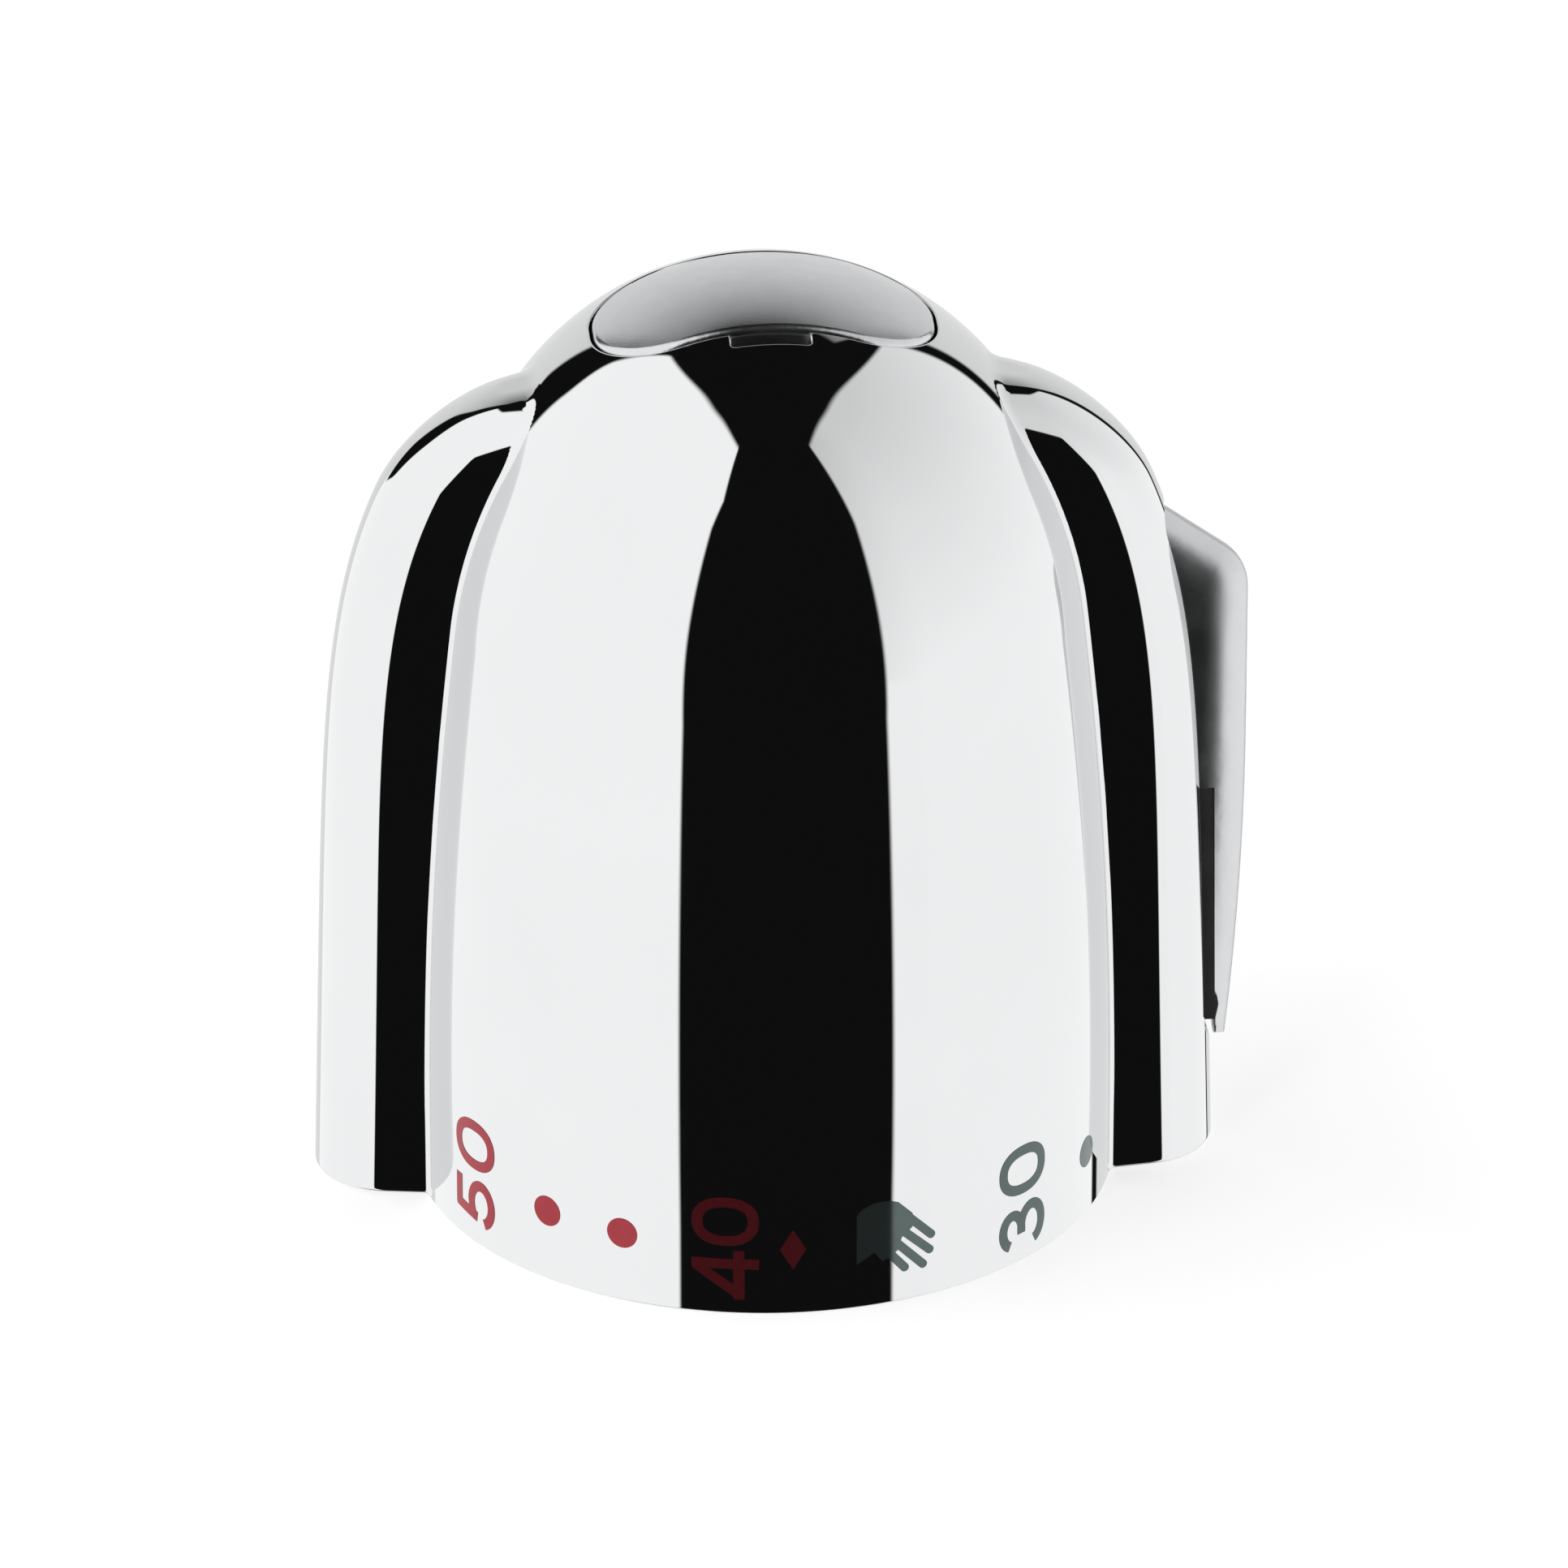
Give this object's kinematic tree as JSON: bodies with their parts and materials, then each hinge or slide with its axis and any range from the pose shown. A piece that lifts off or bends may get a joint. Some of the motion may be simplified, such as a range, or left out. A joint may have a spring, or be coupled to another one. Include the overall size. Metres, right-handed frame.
{
  "type": "thermostatic mixer handle",
  "caption": "Chrome domed temperature handle with two grip wings, a satin safety-stop push button in one wing, a pry-off top cap and a splined hub inside.",
  "frame": {"origin": "centre of the round rim that faces the wall valve, on the turning axis", "axes": "+Z along the turning axis towards the cap, +X at the wing that carries the push button, -Y at the printed front of the dome"},
  "size_m": [0.0572, 0.043, 0.0591],
  "materials": {
    "shell_chrome": "bright mirror chrome plate on a zinc die casting",
    "cap_satin": "satin chrome plate",
    "button_satin": "satin chrome plate",
    "frame_plastic": "moulded dark grey acetal",
    "hub_plastic": "moulded black acetal",
    "carrier_plastic": "moulded grey acetal",
    "glide_plastic": "moulded natural acetal",
    "slider_plastic": "moulded black acetal",
    "spring_steel": "drawn stainless spring steel",
    "screw_steel": "turned stainless steel",
    "pin_steel": "ground stainless steel",
    "pawl_steel": "stamped stainless steel",
    "ring_rubber": "moulded nitrile rubber",
    "print_red": "red translucent print over chrome",
    "print_grey": "grey translucent print over chrome"
  },
  "bodies": {
    "handle": {"shell": "shell_chrome", "inner_frame": "frame_plastic", "glide_ring": "glide_plastic", "carrier": "carrier_plastic", "carrier_screws": "screw_steel", "spline_hub": "hub_plastic", "hub_clip": "spring_steel", "screw_washer": "screw_steel", "button_spring_upper": "spring_steel", "button_spring_lower": "spring_steel"},
    "cap": {"top_cap": "cap_satin"},
    "screw": {"retaining_screw": "screw_steel", "captive_ring": "ring_rubber"},
    "button": {"button_cover": "button_satin", "button_core": "slider_plastic", "button_slider": "slider_plastic", "stop_pawl": "pawl_steel", "pawl_rivet": "pin_steel", "guide_pin_upper": "pin_steel", "guide_pin_lower": "pin_steel", "pin_clip_upper": "spring_steel", "pin_clip_lower": "spring_steel"}
  },
  "joints": [
    {"name": "button_press", "type": "slide", "parent": "handle", "child": "button", "axis": [-1, 0, 0], "range_m": [0, 0.001], "stiffness_N_per_m": 600, "springref_m": -0.002, "deforming": ["button_spring_upper", "button_spring_lower"]},
    {"name": "cap_lift", "type": "slide", "parent": "handle", "child": "cap", "axis": [0, 0, 1], "range_m": [0, 0.01]},
    {"name": "screw_turn", "type": "hinge", "parent": "handle", "child": "screw", "pos_m": [0, 0, 0.038], "axis": [0, 0, 1], "continuous": true}
  ]
}
